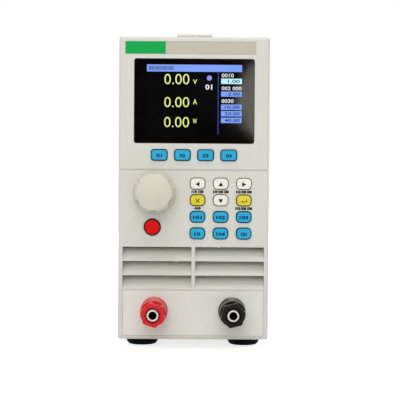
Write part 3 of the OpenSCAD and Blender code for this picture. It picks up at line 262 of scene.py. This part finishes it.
GLOW_DIM = 0.94

# The materials by name

FINISHES = {
    "bezel_plastic": dict(colour=srgb(212, 212, 203), edge=0.25 * MM, **SHELL),
    # painted light: the terminal panel's plastic is the bezel's, painted lighter to make up for the shade
    # on the lower front
    "panel_plastic_painted_lighter": dict(colour=srgb(224, 225, 217), **SHELL),
    "knob_plastic": dict(colour=srgb(207, 203, 187), roughness=0.40, mottle=(0.02, 0.01),
                         bumps=MOULDED, sockets=GLOSS),
    "case_paint": dict(colour=srgb(208, 207, 199), roughness=0.50, mottle=(0.015, 0.06),
                       speck=(0.04, 0.0009), bumps=[(0.22, 0.0011), (0.1, 0.006)], sockets=GLOSS),
    "handle_plastic": dict(colour=srgb(243, 241, 230), roughness=0.42, mottle=(0.02, 0.02),
                           bumps=MOULDED, sockets=GLOSS),
    "strip_film": dict(colour=srgb(195, 189, 174), roughness=0.42, **FILM),
    "label_film": dict(colour=srgb(14, 166, 77), roughness=0.38, **FILM),
    "window_black": dict(colour=srgb(8, 7, 6), **PANE),
    "display": dict(colour=srgb(9, 9, 10), **PANE),
    "key_blue": dict(colour=srgb(48, 168, 210), **KEY),
    "key_white": dict(colour=srgb(235, 235, 224), **KEY),
    "key_yellow": dict(colour=srgb(220, 206, 66), **KEY),
    "button_red": dict(colour=srgb(220, 15, 15), **KEY),
    "post_red": dict(colour=srgb(205, 19, 31), roughness=0.24, sockets=SATIN, **RED),
    "post_black": dict(colour=srgb(26, 24, 18), roughness=0.26, sockets=DULL, **BLACK),
    "base_red": dict(colour=srgb(198, 28, 38), roughness=0.28, sockets=POLISH, **RED),
    "base_black": dict(colour=srgb(24, 23, 20), roughness=0.28, sockets=POLISH, **BLACK),
    "plated_brass": dict(colour=srgb(184, 182, 175), roughness=0.34, mottle=(0.06, 0.003),
                         speck=(0.10, 0.0004), bumps=[(0.08, 0.0004)], sockets=METAL),
    "steel": dict(colour=srgb(190, 190, 190), roughness=0.34, mottle=(0.08, 0.004),
                  speck=(0.12, 0.0005), bumps=[(0.10, 0.0005)], sockets=METAL),
    "rubber": dict(colour=srgb(9, 9, 9), roughness=0.75, mottle=(0.20, 0.006),
                   speck=(0.25, 0.0008), bumps=[(0.25, 0.0007)], sockets=DULL),
    "board": dict(colour=srgb(26, 98, 56), roughness=0.40, mottle=(0.25, 0.004),
                  speck=(0.2, 0.0012), bumps=[(0.25, 0.0015)]),
    "black_plastic": dict(colour=srgb(34, 34, 35), roughness=0.52, mottle=(0.12, 0.01),
                          speck=(0.15, 0.0006), bumps=[(0.18, 0.0006)]),
    "sink_metal": dict(colour=srgb(176, 178, 182), roughness=0.38, mottle=(0.06, 0.002),
                       bumps=[(0.15, 0.0006)], stretch=(1, 40, 1), sockets=METAL),
    "copper": dict(colour=srgb(196, 124, 84), roughness=0.34, mottle=(0.15, 0.008),
                   bumps=[(0.1, 0.0008)], sockets=METAL),
    "standoff_brass": dict(colour=srgb(206, 176, 104), roughness=0.30, mottle=(0.1, 0.003),
                           bumps=[(0.1, 0.0005)], sockets=METAL),
    "core": dict(colour=srgb(176, 140, 64), roughness=0.55, mottle=(0.15, 0.003),
                 speck=(0.2, 0.0008), bumps=[(0.2, 0.0008)]),
    "fuse_glass": dict(colour=srgb(214, 214, 206), roughness=0.12, mottle=(0.05, 0.004),
                       bumps=[(0.02, 0.002)]),
    "dark_print": dict(colour=srgb(16, 16, 18), **PRINTED),
    "blue_print": dict(colour=srgb(6, 48, 88), **PRINTED),
    "olive_print": dict(colour=srgb(96, 84, 14), **PRINTED),
    "faint_print": dict(colour=srgb(196, 195, 187), **PRINTED),
}
GLOWS = {
    "lit_yellow": srgb(238, 246, 150),
    "lit_blue": srgb(128, 162, 250),
    "lit_cyan": srgb(196, 248, 255),
    "lit_white": srgb(244, 246, 255),
    "lit_lavender": srgb(146, 148, 236),
    "lit_navy": srgb(46, 74, 150),
    "lit_ink": srgb(22, 40, 110),
}

# Painted shade as second colours: dark in the plug sockets, dark red on the button's side, and darker on
# the skirts of the keys

SOCKET_R = 2.35 * MM
SOCKET_SHADE = srgb(8, 8, 8)
BUTTON_FACE_R = 4.2 * MM
BUTTON_SIDE_SHADE = srgb(92, 6, 8)
RIM_TURN = -math.cos(math.radians(22))
RIM_SHADES = {"key_blue": srgb(30, 120, 160), "key_yellow": srgb(176, 162, 40)}


def make_materials():
    """One material for each slot of the record, and those of the prints and the display."""
    made = {name: finish(name, **values) for name, values in FINISHES.items()}
    made.update({name: glowing(name, colour) for name, colour in GLOWS.items()})
    # painted shade: the plug sockets inside the studs painted dark
    paint_round_shade(made["plated_brass"], "red_base", SOCKET_R, SOCKET_SHADE)
    # painted shade: the button's side, outside its face, painted dark red
    paint_round_shade(made["button_red"], "power_button", BUTTON_FACE_R, BUTTON_SIDE_SHADE, outside=True)
    # painted shade: the skirts of the blue and yellow keys painted darker
    for name, colour in RIM_SHADES.items():
        paint_rim_shade(made[name], colour)
    return made


MATERIALS = make_materials()


# Carried-over solids: materials, a few of them other than their slot's

# The terminal panel takes the bezel's plastic painted lighter, which is painted light.
NODE_MATERIALS = {
    "knob": "knob_plastic", "terminal_panel": "panel_plastic_painted_lighter",
    "red_base": "base_red", "black_base": "base_black",
}

# Their broken edges, with widths in millimetres

EDGE_WIDTHS = {
    "terminal_panel": 0.12, "name_strip": 0.08, "green_label": 0.06, "display_window": 0.12,
    "knob": 0.2, "power_button": 0.2, "red_base": 0.3, "black_base": 0.3, "red_cap": 0.06,
    "black_cap": 0.06, "red_washer": 0.15, "black_washer": 0.15, "post_studs": 0.2,
    "case_cover": 0.15, "base_tray": 0.3, "rear_panel": 0.25, "rubber_feet": 0.4,
    "handle_caps": 0.25, "handle_strap": 0.6, "fan_rotor": 0.25, "mains_inlet": 0.4,
    "fuse_drawer": 0.3, "data_ports": 0.08,
}
KEY_EDGE = 0.45
ROUND_CORNERS = ("handle_strap",)
WELD_GAP = 0.002 * MM
FLAT_ANGLE = math.radians(0.5)
EDGE_ANGLE = math.radians(32)
EDGE_SEGMENTS = 3
NORMAL_WEIGHT = 60


def soften(node, width):
    """Breaks the sharp edges of a solid, with smooth shading over the small rounds."""
    obj = NODES[node]
    weld = obj.modifiers.new("weld", "WELD")
    weld.merge_threshold = WELD_GAP
    flat = obj.modifiers.new("flat", "DECIMATE")
    flat.decimate_type = "DISSOLVE"
    flat.angle_limit = FLAT_ANGLE
    bevel = obj.modifiers.new("edges", "BEVEL")
    bevel.width = width * MM
    bevel.segments = EDGE_SEGMENTS
    bevel.limit_method = "ANGLE"
    bevel.angle_limit = EDGE_ANGLE
    bevel.miter_outer = "MITER_ARC" if node in ROUND_CORNERS else "MITER_SHARP"
    bevel.loop_slide = node in ROUND_CORNERS
    bevel.use_clamp_overlap = False
    normals = obj.modifiers.new("normals", "WEIGHTED_NORMAL")
    normals.weight = NORMAL_WEIGHT


def dress_nodes():
    for node, obj in NODES.items():
        slot = obj.material_slots[0].material.name.split(".")[0]
        obj.material_slots[0].material = MATERIALS[NODE_MATERIALS.get(node, slot)]
        is_key = node.startswith(("soft_key", "key_"))
        width = KEY_EDGE if is_key else EDGE_WIDTHS.get(node)
        if width:
            soften(node, width)


dress_nodes()


# Prints and display graphics: thin solids, sunk a little into what carries them

PRINT_T = 0.02 * MM
SINK_T = 0.01 * MM
TEXT_STEPS = 3
DISC_STEPS = 32


def text_outline(text, weight):
    """Faces of a word as a flat mesh, from the built-in font."""
    curve = bpy.data.curves.new("word", "FONT")
    curve.body = text
    curve.offset = weight
    curve.resolution_u = TEXT_STEPS
    word = bpy.data.objects.new("word", curve)
    bpy.context.scene.collection.objects.link(word)
    bpy.context.view_layer.update()
    graph = bpy.context.evaluated_depsgraph_get()
    mesh = bpy.data.meshes.new_from_object(word.evaluated_get(graph))
    bpy.data.objects.remove(word)
    bpy.data.curves.remove(curve)
    return mesh


class Print:
    """Flat figures in millimetres, gathered and then raised into one thin piece on a face."""

    def __init__(self):
        self.shape = bmesh.new()

    def polygon(self, points):
        self.shape.faces.new([self.shape.verts.new((u, 0, v)) for u, v in points])

    def box(self, u0, u1, v0, v1):
        self.polygon([(u0, v0), (u1, v0), (u1, v1), (u0, v1)])

    def disc(self, u, v, radius):
        turns = [2 * math.pi * i / DISC_STEPS for i in range(DISC_STEPS)]
        self.polygon([(u + radius * math.cos(a), v + radius * math.sin(a)) for a in turns])

    def text(self, text, u0, u1, v0, v1, weight):
        """Word that fills a rectangle."""
        mesh = text_outline(text, weight)
        xs = [vert.co.x for vert in mesh.vertices]
        ys = [vert.co.y for vert in mesh.vertices]
        left, foot = min(xs), min(ys)
        scale_u = (u1 - u0) / (max(xs) - left)
        scale_v = (v1 - v0) / (max(ys) - foot)
        corners = [self.shape.verts.new((u0 + (x - left) * scale_u, 0, v0 + (y - foot) * scale_v))
                   for x, y in zip(xs, ys)]
        for face in mesh.polygons:
            self.shape.faces.new([corners[i] for i in face.vertices])
        bpy.data.meshes.remove(mesh)

    def centred_text(self, text, width, height, u, v, weight):
        """Word that fills a rectangle about a point."""
        self.text(text, u - width / 2, u + width / 2, v - height / 2, v + height / 2, weight)

    def raise_figures(self, lift):
        """Turns the figures into thin solids in metres."""
        shape = self.shape
        bmesh.ops.scale(shape, vec=(MM, MM, MM), verts=shape.verts)
        bmesh.ops.recalc_face_normals(shape, faces=shape.faces)
        for face in shape.faces:
            if face.normal.y > 0:
                face.normal_flip()
        raised = bmesh.ops.extrude_face_region(shape, geom=shape.faces[:], use_keep_orig=True)
        top = {part for part in raised["geom"] if isinstance(part, bmesh.types.BMVert)}
        base = [vert for vert in shape.verts if vert not in top]
        bmesh.ops.translate(shape, vec=(0, -PRINT_T - lift, 0), verts=list(top))
        bmesh.ops.translate(shape, vec=(0, SINK_T, 0), verts=base)
        bmesh.ops.recalc_face_normals(shape, faces=shape.faces)

    def piece(self, name, origin, material, body, slot, lift=0.0):
        """Raises the figures off the face at the origin and makes them ride on a body."""
        self.raise_figures(lift)
        mesh = bpy.data.meshes.new(name)
        self.shape.to_mesh(mesh)
        self.shape.free()
        mesh.transform(Matrix.Translation(origin))
        mesh.materials.append(MATERIALS[material])
        obj = bpy.data.objects.new(name, mesh)
        bpy.context.scene.collection.objects.link(obj)
        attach(obj, body)


def face_centre(node):
    """Middle of a node's front face."""
    low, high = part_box(node)
    return Vector(((low.x + high.x) / 2, low.y, (low.z + high.z) / 2))


# Legends on the keys, in millimetres from the middle of the key

QUARTER = math.pi / 2
LEGEND_V = -0.35
LEGEND_H = 2.1
LEGEND_WEIGHT = 0.045
DIGIT_W = 1.75
ARROW_POINTS = [(1.35, 0), (-1.08, 1.35), (-1.08, -1.35)]
ARROW_KEYS = ["key_right", "key_up", "key_left", "key_down"]
CROSS_SPAN = 0.95
CROSS_HALF = 0.275
CROSS_REACH = CROSS_SPAN * math.sqrt(2) + CROSS_HALF
CROSS_ARM = [(CROSS_REACH, -CROSS_HALF), (CROSS_REACH, CROSS_HALF), (CROSS_HALF, CROSS_HALF)]
RETURN_V = -0.8
RETURN_POINTS = [(-1.7, 0), (-0.7, -0.75), (-0.7, -0.21), (1.61, -0.21), (1.61, 1.51),
                 (1.19, 1.51), (1.19, 0.21), (-0.7, 0.21), (-0.7, 0.75)]
KEY_NUMBERS = {
    "soft_key_1": "01", "soft_key_2": "02", "soft_key_3": "03", "soft_key_4": "04",
    "key_mode": "101", "key_menu": "102", "key_set": "103",
    "key_channel": "10", "key_trigger": "104", "key_on": "ON",
}


def turned(points, turn):
    """Points turned about the middle of a legend."""
    cos, sin = math.cos(turn), math.sin(turn)
    return [(x * cos - y * sin, x * sin + y * cos + LEGEND_V) for x, y in points]


def legend_piece(figure, key, material):
    figure.piece(f"legend_{key}", face_centre(key), material, key, "black_plastic")


def number_legend(key, text):
    figure = Print()
    figure.centred_text(text, DIGIT_W * len(text), LEGEND_H, 0, LEGEND_V, LEGEND_WEIGHT)
    legend_piece(figure, key, "blue_print")


def arrow_legend(key, turn):
    """Filled triangle that points along its key's direction."""
    figure = Print()
    figure.polygon(turned(ARROW_POINTS, turn))
    legend_piece(figure, key, "dark_print")


def cross_legend(key):
    """Slanted cross, as one outline of four arms."""
    points = []
    for i in range(4):
        points += turned(CROSS_ARM, (i + 0.5) * QUARTER)
    figure = Print()
    figure.polygon(points)
    legend_piece(figure, key, "olive_print")


def return_legend(key):
    """Bent arrow that points to the left, as one outline."""
    figure = Print()
    figure.polygon([(u, v + RETURN_V) for u, v in RETURN_POINTS])
    legend_piece(figure, key, "olive_print")


def key_legends():
    for key, text in KEY_NUMBERS.items():
        number_legend(key, text)
    for i, key in enumerate(ARROW_KEYS):
        arrow_legend(key, i * QUARTER)
    cross_legend("key_escape")
    return_legend("key_enter")


# Small numbers under the keys, each with its width, and ticks, all in millimetres

SUB_LABELS = {
    "key_left": ("110 120", 7.0), "key_up": ("210 220 230", 9.4),
    "key_right": ("310 320 330", 9.4), "key_escape": ("410", 3.8),
    "key_enter": ("510 520 530", 10.0),
}
SUB_LABEL_H = 1.75
SUB_LABEL_WEIGHT = 0.09
SUB_LABEL_DROP = 4.75
TICKS_U = [-28.3, -26.8, -25.3]
TICKS_V = (55.6, 57.7)
TICK_W = 0.5


def panel_prints():
    foot = Vector((0, FACE_Y, CASE_Z))
    labels = Print()
    for key, (text, width) in SUB_LABELS.items():
        place = (face_centre(key) - foot) / MM
        labels.centred_text(text, width, SUB_LABEL_H, place.x, place.z - SUB_LABEL_DROP, SUB_LABEL_WEIGHT)
    labels.piece("panel_numbers", foot, "dark_print", "chassis", "black_plastic")
    ticks = Print()
    for u in TICKS_U:
        ticks.box(u - TICK_W / 2, u + TICK_W / 2, *TICKS_V)
    ticks.piece("panel_ticks", foot, "faint_print", "chassis", "bezel_plastic")


# Display graphics, in millimetres from the middle of the display

LCD_W = 55.6
LCD_H = 42.0
LCD_RISE = 0.25
HEADER_H = 4.1
CLOCK_SIZE = (14.4, 2.3)
CLOCK_U = -19.4
INK_WEIGHT = 0.015
DIVIDER_U = (13.65, 14.15)
DIVIDER_V = (-19.5, 16.9)

# Readings: unit, foot and top of the digits, foot and top of the unit

READINGS = [("V", 9.5, 15.6, 9.7, 12.4), ("A", -3.9, 2.1, -2.1, 0.9), ("W", -15.6, -9.5, -13.3, -10.6)]
READING_U = (-17.6, -3.0)
READING_WEIGHT = -0.006
UNIT_U = (-0.8, 1.5)
UNIT_WEIGHT = 0.012

# Column on the right: labels with width, foot and top, boxes with foot and top

COLUMN_U = (15.6, 27.7)
COLUMN_LABELS = [("0010", 7.0, 13.7, 16.0), ("002 000", 11.6, 6.3, 8.4), ("0030", 7.0, -1.2, 1.0)]
COLUMN_BOXES = [("2.00", 2.5, 5.5), ("10.00", -5.2, -2.1), ("20.00", -9.0, -5.9), ("40.00", -12.9, -9.8)]
FIRST_BOX = ("1.00", 9.9, 13.0)
LABEL_U = 15.9
LABEL_WEIGHT = 0.01
BOX_TEXT_U = 26.5
BOX_TEXT_PAD = 0.6
BOX_DIGIT_W = 1.75

# Channel number and the dot over it

CHANNEL_AT = (8.4, 8.0)
CHANNEL_SIZE = (4.0, 3.0)
CHANNEL_WEIGHT = 0.02
DOT_AT = (8.7, 13.3)
DOT_R = 1.5


def display_piece(figure, name, material, lift=0.0):
    origin = face_centre("display_window") + Vector((0, 0, LCD_RISE * MM))
    figure.piece(name, origin, material, "chassis", "display", lift)


def display_field():
    field = Print()
    field.box(-LCD_W / 2, LCD_W / 2, -LCD_H / 2, LCD_H / 2)
    display_piece(field, "display_field", "display")


def display_bars():
    """Bar along the top, and the line left of the column."""
    header, divider = Print(), Print()
    header.box(-LCD_W / 2, LCD_W / 2, LCD_H / 2 - HEADER_H, LCD_H / 2)
    divider.box(*DIVIDER_U, *DIVIDER_V)
    display_piece(header, "display_header", "lit_blue", PRINT_T)
    display_piece(divider, "display_divider", "lit_navy", PRINT_T)


def display_readings():
    digits = Print()
    for unit, low, high, unit_low, unit_high in READINGS:
        digits.text("0.00", *READING_U, low, high, READING_WEIGHT)
        digits.text(unit, *UNIT_U, unit_low, unit_high, UNIT_WEIGHT)
    display_piece(digits, "display_readings", "lit_yellow", PRINT_T)


def display_labels():
    labels = Print()
    for text, width, low, high in COLUMN_LABELS:
        labels.text(text, LABEL_U, LABEL_U + width, low, high, LABEL_WEIGHT)
    labels.centred_text("01", *CHANNEL_SIZE, *CHANNEL_AT, CHANNEL_WEIGHT)
    display_piece(labels, "display_labels", "lit_white", PRINT_T)


def display_boxes():
    first, boxes = Print(), Print()
    first.box(*COLUMN_U, *FIRST_BOX[1:])
    for box in COLUMN_BOXES:
        boxes.box(*COLUMN_U, *box[1:])
    display_piece(first, "display_first_box", "lit_cyan", PRINT_T)
    display_piece(boxes, "display_boxes", "lit_blue", PRINT_T)


def display_dot():
    dot = Print()
    dot.disc(*DOT_AT, DOT_R)
    display_piece(dot, "display_dot", "lit_lavender", PRINT_T)


def display_numbers():
    """Clock on the bar and values in the boxes, one layer further out."""
    inks = Print()
    inks.centred_text("00:00:00:00", *CLOCK_SIZE, CLOCK_U, LCD_H / 2 - HEADER_H / 2, INK_WEIGHT)
    for text, low, high in COLUMN_BOXES + [FIRST_BOX]:
        left = BOX_TEXT_U - BOX_DIGIT_W * len(text)
        inks.text(text, left, BOX_TEXT_U, low + BOX_TEXT_PAD, high - BOX_TEXT_PAD, INK_WEIGHT)
    display_piece(inks, "display_numbers", "lit_ink", 2 * PRINT_T)


def display_graphics():
    display_field()
    display_bars()
    display_readings()
    display_labels()
    display_boxes()
    display_dot()
    display_numbers()


key_legends()
panel_prints()
display_graphics()


# Camera, at the photograph's place

CAMERA_AT = Vector((-0.0008, FACE_Y - 0.660, 0.0981))
CAMERA_TO = Vector((0.0037, FACE_Y, 0.08876))
CAMERA_LENS = 101.6
CAMERA_SENSOR = 36.0
CAMERA_ROLL = math.radians(0.4)


def aimed(place, target):
    """Transform of a camera or light at a place that looks at a target."""
    aim = (target - place).to_track_quat("-Z", "Y").to_matrix().to_4x4()
    return Matrix.Translation(place) @ aim


def add_camera():
    data = bpy.data.cameras.new("camera")
    data.lens = CAMERA_LENS
    data.sensor_width = CAMERA_SENSOR
    camera = bpy.data.objects.new("camera", data)
    camera.matrix_world = aimed(CAMERA_AT, CAMERA_TO) @ Matrix.Rotation(CAMERA_ROLL, 4, "Z")
    bpy.context.scene.collection.objects.link(camera)
    bpy.context.scene.camera = camera


# Floor, studio light and white surroundings; each light has a place, a target, a size and a power

AMBIENT = 0.50
BACKDROP = 1.0
FLOOR_HALF = 4.0
FLOOR_GLOW = 0.75
FLOOR_FINISH = dict(colour=grey(0.82), roughness=0.9, mottle=(0.01, 0.2),
                    sockets={"Specular IOR Level": 0.0})
LIGHTS = {
    "key": (Vector((-0.15, -1.40, 0.72)), Vector((0, FACE_Y, 0.1)), (1.2, 0.9), 7.5),
    "top": (Vector((0, -0.45, 1.5)), Vector((0, 0, 0.1)), (0.9, 0.9), 8.0),
    "back": (Vector((0.3, 1.4, 0.55)), Vector((0, 0, 0.1)), (1.0, 0.8), 6.5),
}


def seen_directly(tree):
    """1 for camera, glossy and transmission rays, and 0 for the rays that light the object."""
    rays = tree.nodes.new("ShaderNodeLightPath").outputs
    either = add_math(tree, "MAXIMUM", rays["Is Camera Ray"], rays["Is Glossy Ray"])
    return add_math(tree, "MAXIMUM", either, rays["Is Transmission Ray"])


def mix_by_ray(tree, lighting, seen):
    """One shader for the rays that light the object, and another for what is seen directly."""
    mix = tree.nodes.new("ShaderNodeMixShader")
    link(tree, seen_directly(tree), mix.inputs["Fac"])
    link(tree, lighting, mix.inputs[1])
    link(tree, seen, mix.inputs[2])
    return mix.outputs["Shader"]


def add_emission(tree, strength):
    glow = tree.nodes.new("ShaderNodeEmission")
    glow.inputs["Strength"].default_value = strength
    return glow


def add_world():
    world = bpy.data.worlds.new("studio")
    bpy.context.scene.world = world
    world.use_nodes = True
    tree = world.node_tree
    light = tree.nodes["Background"]
    white = tree.nodes.new("ShaderNodeBackground")
    for node, strength in ((light, AMBIENT), (white, BACKDROP)):
        node.inputs["Color"].default_value = grey(1.0)
        node.inputs["Strength"].default_value = strength
    mix = mix_by_ray(tree, light.outputs["Background"], white.outputs["Background"])
    link(tree, mix, tree.nodes["World Output"].inputs["Surface"])


def add_plane(name, corners, material):
    mesh = bpy.data.meshes.new(name)
    mesh.from_pydata(corners, [], [(0, 1, 2, 3)])
    mesh.materials.append(material)
    obj = bpy.data.objects.new(name, mesh)
    bpy.context.scene.collection.objects.link(obj)
    return obj


def add_floor():
    """Pale floor that keeps the object's shadow and fades into the white surroundings."""
    material = finish("floor", **FLOOR_FINISH)
    tree = material.node_tree
    nothing, glow = add_emission(tree, 0.0), add_emission(tree, FLOOR_GLOW)
    mix = mix_by_ray(tree, nothing.outputs["Emission"], glow.outputs["Emission"])
    total = tree.nodes.new("ShaderNodeAddShader")
    link(tree, tree.nodes["Principled BSDF"].outputs["BSDF"], total.inputs[0])
    link(tree, mix, total.inputs[1])
    link(tree, total.outputs["Shader"], tree.nodes["Material Output"].inputs["Surface"])
    half = FLOOR_HALF
    add_plane("floor", [(-half, -half, 0), (half, -half, 0), (half, half, 0), (-half, half, 0)], material)


def add_area(name, place, target, size, power):
    data = bpy.data.lights.new(name, "AREA")
    data.shape = "RECTANGLE"
    data.size, data.size_y = size
    data.energy = power
    light = bpy.data.objects.new(name, data)
    light.matrix_world = aimed(place, target)
    bpy.context.scene.collection.objects.link(light)


def add_lights():
    for name, values in LIGHTS.items():
        add_area(name, *values)


# Dark card that only shows in reflections, so that the window stays black, with a round glare on it

CARD_AWAY = 0.6
CARD_X = (-0.080, 0.190)
CARD_Z = (0.110, 0.270)
CARD_HIDDEN = ("camera", "diffuse", "transmission", "volume_scatter", "shadow")
GLARE = 2.9
GLARE_COLOUR = srgb(255, 249, 234)
GLARE_X = 0.1028
GLARE_Z = 0.1919
GLARE_R = (0.050, 0.059)


def card_material():
    """Black, with a glare that fades between its two radii."""
    material = bpy.data.materials.new("card")
    material.use_nodes = True
    tree = material.node_tree
    tree.nodes.remove(tree.nodes["Principled BSDF"])
    axes = add_axes(tree, "Object")
    away = add_math(tree, "SQRT", square_from(tree, axes["X"], axes["Z"], GLARE_X, GLARE_Z))
    inner, outer = GLARE_R
    fade = add_math(tree, "DIVIDE", add_math(tree, "SUBTRACT", away, inner), outer - inner)
    glow = add_emission(tree, GLARE)
    link(tree, add_ramp(tree, fade, GLARE_COLOUR, grey(0.0), 0.0, 1.0), glow.inputs["Color"])
    link(tree, glow.outputs["Emission"], tree.nodes["Material Output"].inputs["Surface"])
    return material


def add_reflection_card():
    y = FACE_Y - CARD_AWAY
    (x0, x1), (z0, z1) = CARD_X, CARD_Z
    card = add_plane("card", [(x0, y, z0), (x1, y, z0), (x1, y, z1), (x0, y, z1)], card_material())
    for ray in CARD_HIDDEN:
        setattr(card, f"visible_{ray}", False)


add_camera()
add_world()
add_floor()
add_lights()
add_reflection_card()
bpy.context.scene.view_settings.view_transform = "Standard"
